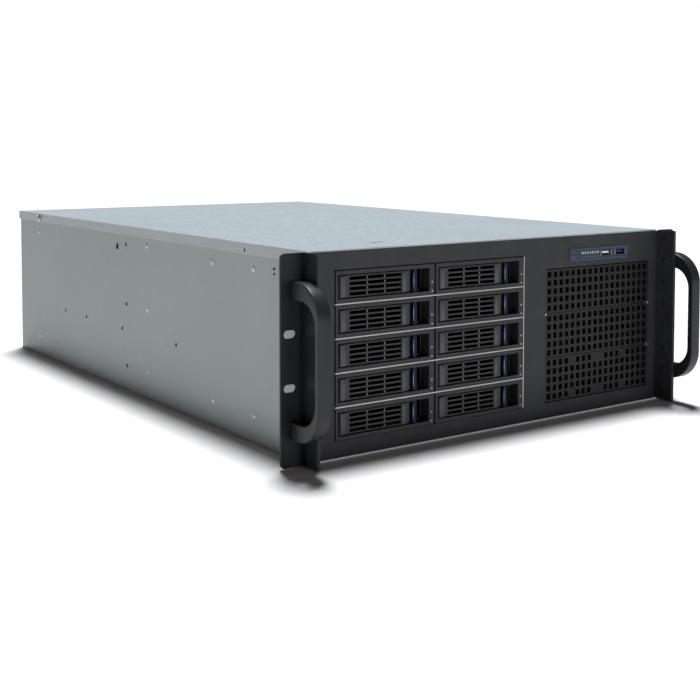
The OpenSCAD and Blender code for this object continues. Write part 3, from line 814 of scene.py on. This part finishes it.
class ENCLOSURE_OT_trays(EnclosureStep, bpy.types.Operator):
    """Finishes trays, levers and latches, and adds their strips, studs, springs and lamps"""

    bl_idname = "enclosure.trays"
    bl_label = "Drive trays"
    HINGE_STRIP = (1.5, 5.2)
    END_STRIP = (66.5, 4.5)
    RIBS = (29.5, 48.1)
    VENT_PITCH = 4.4
    LAMP_HEIGHTS = (11.3, 3.2)

    def execute(self, context):
        tray = settings("tray")
        frame_plastic = moulded("tray plastic", tuple(tray.frame_colour))
        lever_plastic = moulded("lever plastic", tuple(tray.lever_colour), 0.4)
        # The strips' paler plastic is a painted highlight, not a different moulding.
        trim_highlight_plastic = moulded("trim plastic painted highlight", tuple(tray.trim_highlight_colour), 0.42)
        latch_plastic = Finish(
            "latch plastic", tuple(tray.latch_colour), 0.4, Specular_IOR_Level=0.15
        )
        latch_plastic.mottle(latch_plastic.noise(0.003, 2), 0.85, 1.15)
        spring = bright_metal("latch steel", (0.36, 0.38, 0.50), 0.4)
        # Painted highlight: the studs' light grey stands in for the glints on the dark lever's
        # ribs beside the vents.
        stud = moulded("stud plastic painted highlight", (0.30, 0.29, 0.28), 0.4)
        lens = Finish("lamp lens", (0.62, 0.64, 0.66), 0.2, Transmission_Weight=0.1)
        lens.mottle(lens.noise(0.001, 2), 0.9, 1.1)
        for number in TRAYS:
            body, lever, latch = (kind + number for kind in ("tray_", "lever_", "latch_"))
            dress(body, frame_plastic, tray.edge)
            dress(lever, lever_plastic, tray.edge)
            dress(latch, latch_plastic.material, 0.0003)
            lamps = self.lamps(body, tray.lamp_radius / MM)
            for name, shape, material, ridden, slot in (
                ("lamps_", lamps, lens.material, body, "tray_plastic"),
                ("lever_trim_", self.trim(lever), trim_highlight_plastic, lever, "lever_plastic"),
                ("lever_studs_", self.studs(lever), stud, lever, "lever_plastic"),
                ("latch_spring_", self.spring(latch), spring, latch, "screw_steel"),
            ):
                mesh_piece(name + number, shape, material, ridden)
        return {"FINISHED"}

    def trim(self, node):
        """Raised strips at both ends of a lever's face. Each starts some way from the lever's
        hinged end and has its own width."""
        low, high = millimetres(node)
        front = low[1]
        shapes = []
        for (start, wide), proud, inset, radius in (
            (self.HINGE_STRIP, 0.35, 0.2, 0.5), (self.END_STRIP, 0.3, 1.4, 0.6),
        ):
            x = low[0] + start
            shapes.append(rounded_block(
                (x, front - proud, low[2] + inset), (x + wide, front + 1, high[2] - inset), radius
            ))
        return together(shapes)

    def studs(self, node):
        """A stud on each rib beside each vent, counted from the lever's hinged end and from its
        middle height."""
        low, high = millimetres(node)
        front, middle = low[1], (low[2] + high[2]) / 2
        half_x, half_z = 0.45, 0.9
        shapes = []
        for x in low[0] + np.array(self.RIBS):
            for z in middle + np.array((-1.5, -0.5, 0.5, 1.5)) * self.VENT_PITCH:
                shapes.append(rounded_block(
                    (x - half_x, front + 0.1, z - half_z), (x + half_x, front + 1.6, z + half_z),
                    0.3, 2,
                ))
        return together(shapes)

    def spring(self, node):
        """A steel spring on the latch's hinge side. Its width swells to the middle of its
        height: half width 0.1 + 0.25 sin(pi t)."""
        low, high = millimetres(node)
        t = np.linspace(0, 1, 12)[:, None]
        angle = np.arange(12) * TURN / 12
        wide = 0.1 + 0.25 * np.sin(math.pi * t)
        end = 3
        grid = np.zeros((12, 12, 3))
        grid[..., 0] = low[0] + 0.35 + wide * np.cos(angle)
        grid[..., 1] = low[1] - 0.1 + 0.35 * np.sin(angle)
        grid[..., 2] = low[2] + end + t * (high[2] - low[2] - 2 * end)
        return skin(grid)

    def lamps(self, node, radius):
        """Two light pipes, one above the other, each a dome with its foot in the frame."""
        low, high = millimetres(node)
        profile = [(-t, r) for t, r in dome_profile(radius, 0.3, 1.0)]
        return together([
            lathe(profile, (high[0] - 2.7, low[1] + 0.05, low[2] + height), 1, 16)
            for height in self.LAMP_HEIGHTS
        ])


class ENCLOSURE_OT_strip(EnclosureStep, bpy.types.Operator):
    """Builds the control strip's print, buttons, sockets and board"""

    bl_idname = "enclosure.strip"
    bl_label = "Control strip"
    SOCKETS = (140.2, 161.0)
    TONGUES = ((0.85, 0.87, 0.86), (0.012, 0.03, 0.16))
    FIRST_SIGN = 17.6
    SIGN_PITCH = 3.6
    SIGNS = ((0, 0), (4, 0.2), (3, 0.25), (2, 0.3), (5, 0.2), (3, 0.3), (6, 0.15))

    def execute(self, context):
        strip = settings("strip")
        film = Finish("strip film", tuple(strip.film_colour), 0.3, Specular_IOR_Level=0.35)
        film.mottle(film.noise(0.004, 2), 0.8, 1.25)
        outline = printed("outline print", tuple(strip.outline_colour))
        marks = printed("mark print", tuple(strip.mark_colour))
        dots = printed("dot print", (0.10, 0.045, 0.030))
        button = moulded("button plastic", (0.055, 0.095, 0.16), 0.4)
        dress("control_strip", film.material, 0.0002, 1)
        for node in ("power_button", "reset_button"):
            dress(node, button, 0.0004)
        low, high = millimetres("control_strip")
        margin = strip.margin / MM
        ring = frame_ring(
            (low[0] + margin, low[2] + margin), (high[0] - margin, high[2] - margin),
            1.2, 0.4, low[1] - 0.1, low[1] + 0.1,
        )
        for name, shape, ink in (
            ("strip_outline", ring, outline),
            ("strip_marks", self.marks(low), marks),
            ("strip_dots", self.dots(low), dots),
        ):
            mesh_piece(name, shape, ink, "chassis", False)
        self.sockets(low)
        return {"FINISHED"}

    def marks(self, low):
        """A row of lamp signs with a row of small dashes under it, and a bracket on both sides
        of each socket. A sign is its number of lobes and their depth."""
        front, back = low[1] - 0.12, low[1] + 0.1
        shapes = []
        for k, (lobes, depth) in enumerate(self.SIGNS):
            x = low[0] + self.FIRST_SIGN + k * self.SIGN_PITCH
            shapes.append(lobed_mark(x, low[2] + 8.3, 1.3, lobes, depth, front, back))
            dash = (x - 0.5, front, low[2] + 3.9), (x + 0.5, back, low[2] + 4.4)
            shapes.append(rounded_block(*dash, 0.1, 1))
        for x in self.SOCKETS:
            for side in (-1, 1):
                edges = sorted((x + side * 7.2, x + side * 7.8))
                bracket = (edges[0], front, low[2] + 4.4), (edges[1], back, low[2] + 9.6)
                shapes.append(rounded_block(*bracket, 0.12, 1))
        return together(shapes)

    def dots(self, low):
        """Four sound holes of the buzzer, two by two."""
        front, back = low[1] - 0.08, low[1] + 0.1
        return together([
            lobed_mark(low[0] + 11.2 + dx, low[2] + 7.2 + dz, 0.75, 0, 0, front, back)
            for dx in (-1.3, 1.3) for dz in (-1.6, 1.6)
        ])

    def sockets(self, low):
        """The sockets' steel shells, darkened as painted shade, with their tongues, and the board
        behind them.
        """
        # Painted shade: the shells' steel is made near black to stand in for the shade inside the
        # socket openings.
        shell = bright_metal("socket steel painted shade", (0.10, 0.11, 0.12), 0.35)
        mask = solder_mask("board mask", (0.02, 0.11, 0.05))
        pieces = []
        front, floor = low[1], low[2]
        for number, (x, colour) in enumerate(zip(self.SOCKETS, self.TONGUES), 1):
            corners = (x - 6.6, floor + 4.2), (x + 6.6, floor + 9.9)
            ring = frame_ring(*corners, 0.5, 0.35, front + 0.3, 16)
            corners = (x - 4.6, front + 0.5, floor + 6.6), (x + 4.6, 15, floor + 8.6)
            tongue = rounded_block(*corners, 0.2)
            plastic = moulded(f"tongue plastic {number}", colour, 0.35)
            for name, shape, finish, slot in (
                ("socket_shell_", ring, shell, "screw_steel"),
                ("socket_tongue_", tongue, plastic, "button_plastic"),
            ):
                pieces.append(mesh_piece(name + str(number), shape, finish, "chassis"))
        board, (right, back, _) = millimetres("control_board")
        slab = rounded_block((board[0], 4.6, board[2]), (right, back, board[2] + 1.6), 0.2, 2)
        pieces.append(mesh_piece("control_board_slab", slab, mask, "chassis"))
        for piece in pieces:
            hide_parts("control_board")


class ENCLOSURE_OT_backplane(EnclosureStep, bpy.types.Operator):
    """Finishes the backplane"""

    bl_idname = "enclosure.backplane"
    bl_label = "Backplane"

    def execute(self, context):
        dress("backplane", solder_mask("backplane mask", (0.015, 0.10, 0.045)))
        return {"FINISHED"}


class ENCLOSURE_OT_fans(EnclosureStep, bpy.types.Operator):
    """Finishes the fan frames and builds rotors with curved blades"""

    bl_idname = "enclosure.fans"
    bl_label = "Fans"

    def execute(self, context):
        fan = settings("fan")
        plastic = moulded("fan plastic", tuple(fan.colour), 0.4)
        for node in ("mid_fan_frames", "rear_fan_frames"):
            dress(node, plastic, 0.0004)
        rotors = [f"mid_rotor_{k}" for k in (1, 2, 3)] + [f"rear_rotor_{k}" for k in (1, 2)]
        for node in rotors:
            piece = mesh_piece(node + "_blades", self.rotor(node, fan), plastic, node)
            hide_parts(node)
        return {"FINISHED"}

    def rotor(self, node, fan):
        """A hub cap with blades round it, all inside the CAD rotor's box. The cap's front edge
        is a quarter circle."""
        low, high = millimetres(node)
        centre = (low + high) / 2
        tip = (high[0] - low[0]) / 2
        hub = tip * 0.4
        deep = (high[1] - low[1]) / 2
        bend = 2.2
        a = np.linspace(0, TURN / 4, 6)
        cap = np.stack([-deep + bend - bend * np.cos(a), hub - bend + bend * np.sin(a)], -1)
        back = [[deep - 0.2, hub], [deep, hub - 0.3], [deep, 0.3]]
        shapes = [lathe(np.concatenate([[[-deep, 0.3]], cap, back]), centre, 1, 48)]
        for k in range(fan.blades):
            shapes.append(self.blade(centre, hub - 1, tip, deep, k * TURN / fan.blades, fan))
        return together(shapes)

    def blade(self, centre, root, tip, deep, start, fan):
        """A twisted blade. At radius r its section is a bowed lens. The chord is 0.62 r + 3, or
        less where the fan isn't deep enough, and it leans out of the fan's plane by the pitch
        there. Its middle swings by the sweep between root and tip."""
        s = np.linspace(0, 1, 9)[:, None]
        w = np.arange(20) * TURN / 20
        radius = root + s * (tip - root - 0.4)
        pitch = fan.pitch_at_hub + s * (fan.pitch_at_tip - fan.pitch_at_hub)
        chord = np.minimum(0.62 * radius + 3, 2 * (deep - 0.8) / np.sin(pitch))
        along = chord / 2 * np.cos(w)
        bow = 0.08 * chord * (1 - np.cos(w) ** 2)
        thick = 0.75 * np.sin(w) * (1 - 0.3 * np.cos(w)) - bow
        across = along * np.cos(pitch) - thick * np.sin(pitch)
        y = along * np.sin(pitch) + thick * np.cos(pitch)
        angle = start + fan.sweep * s**1.5 + across / radius
        return skin(np.stack([radius * np.sin(angle), y, radius * np.cos(angle)], -1) + centre)


class ENCLOSURE_OT_stage(EnclosureStep, bpy.types.Operator):
    """Sets the pale floor, the soft light and the camera"""

    bl_idname = "enclosure.stage"
    bl_label = "Stage"
    OVERHEAD_PLACE = (0.22, 0.28, 1.2)
    FRONT_PLACE = (0.2, -2.4, 0.22)
    FRONT_SIZE = 0.7
    SIDE_PLACE = (-2.4, 0.5, 0.16)
    SIDE_SIZE = 0.5

    def execute(self, context):
        stage = settings("stage")
        self.floor(stage)
        self.light(context, stage)
        self.camera(context, stage)
        return {"FINISHED"}

    def floor(self, stage):
        """A wide plain floor just under the resting face."""
        paint = Finish("floor paint", tuple(stage.floor_colour), 0.9)
        half, level = 12.0, -0.0004
        mesh = bpy.data.meshes.new("floor")
        ring = [(-half, -half), (half, -half), (half, half), (-half, half)]
        mesh.from_pydata([(x, y, level) for x, y in ring], [], [(0, 1, 2, 3)])
        mesh.materials.append(paint.material)
        floor = bpy.data.objects.new("floor", mesh)
        bpy.context.scene.collection.objects.link(floor)

    def light(self, context, stage):
        """A dim even room seen as white, one broad light nearly overhead, from the right and
        behind, and two weak square lights, before the front and by the left side."""
        world = bpy.data.worlds.new("room")
        world.use_nodes = True
        nodes, links = world.node_tree.nodes, world.node_tree.links
        room = nodes["Background"]
        room.inputs["Color"].default_value = (0.93, 0.97, 1, 1)
        room.inputs["Strength"].default_value = stage.room
        backdrop = nodes.new("ShaderNodeBackground")
        backdrop.inputs["Color"].default_value = (1, 1, 1, 1)
        path = nodes.new("ShaderNodeLightPath")
        choice = nodes.new("ShaderNodeMixShader")
        links.new(path.outputs["Is Camera Ray"], choice.inputs["Fac"])
        links.new(room.outputs["Background"], choice.inputs[1])
        links.new(backdrop.outputs["Background"], choice.inputs[2])
        links.new(choice.outputs["Shader"], nodes["World Output"].inputs["Surface"])
        context.scene.world = world
        context.scene.view_settings.view_transform = "Standard"
        overhead = bpy.data.lights.new("overhead light", "SUN")
        overhead.energy = stage.overhead
        overhead.angle = stage.softness
        overhead.color = (0.88, 0.94, 1)
        self.hold(context, overhead, self.OVERHEAD_PLACE)
        for name, size, power, place in (
            ("front light", self.FRONT_SIZE, stage.front_light, self.FRONT_PLACE),
            ("side light", self.SIDE_SIZE, stage.side_light, self.SIDE_PLACE),
        ):
            panel = bpy.data.lights.new(name, "AREA")
            panel.shape = "SQUARE"
            panel.size = size
            panel.energy = power
            self.hold(context, panel, place)

    def hold(self, context, lamp, place):
        """Hangs a light at its place, turned to the foot of the front."""
        holder = bpy.data.objects.new(lamp.name, lamp)
        holder.location = place
        x, y, z = place
        holder.rotation_euler = (math.atan2(math.hypot(x, y), z), 0, math.atan2(x, -y))
        context.scene.collection.objects.link(holder)

    def camera(self, context, stage):
        """A camera at its place, heading, tilt and roll, with its shift."""
        lens = bpy.data.cameras.new("camera")
        lens.sensor_width = 36
        lens.lens = stage.lens
        lens.shift_x, lens.shift_y = stage.shift
        lens.clip_start = 0.01
        camera = bpy.data.objects.new("camera", lens)
        camera.location = stage.place
        camera.rotation_mode = "XYZ"
        camera.rotation_euler = (TURN / 4 - stage.tilt, stage.roll, -stage.heading)
        context.scene.collection.objects.link(camera)
        context.scene.camera = camera


STEPS = (
    ENCLOSURE_OT_body,
    ENCLOSURE_OT_front,
    ENCLOSURE_OT_handles,
    ENCLOSURE_OT_fasteners,
    ENCLOSURE_OT_trays,
    ENCLOSURE_OT_strip,
    ENCLOSURE_OT_backplane,
    ENCLOSURE_OT_fans,
    ENCLOSURE_OT_stage,
)


class ENCLOSURE_PT_panel(bpy.types.Panel):
    """Lists the building steps in the sidebar"""

    bl_idname = "ENCLOSURE_PT_panel"
    bl_label = "Rack storage enclosure"
    bl_space_type = "VIEW_3D"
    bl_region_type = "UI"
    bl_category = "Enclosure"

    def draw(self, context):
        for step in STEPS:
            self.layout.operator(step.bl_idname)


def register():
    for group in GROUPS.values():
        bpy.utils.register_class(group)
    for name, group in GROUPS.items():
        setattr(bpy.types.Scene, "enclosure_" + name, bpy.props.PointerProperty(type=group))
    for step in STEPS:
        bpy.utils.register_class(step)
    bpy.utils.register_class(ENCLOSURE_PT_panel)


def unregister():
    bpy.utils.unregister_class(ENCLOSURE_PT_panel)
    for step in reversed(STEPS):
        bpy.utils.unregister_class(step)
    for name in reversed(GROUPS):
        delattr(bpy.types.Scene, "enclosure_" + name)
        bpy.utils.unregister_class(GROUPS[name])


def main():
    """Registers the classes and runs every step in order."""
    register()
    for step in STEPS:
        group, name = step.bl_idname.split(".")
        getattr(getattr(bpy.ops, group), name)()


if __name__ == "__main__":
    main()
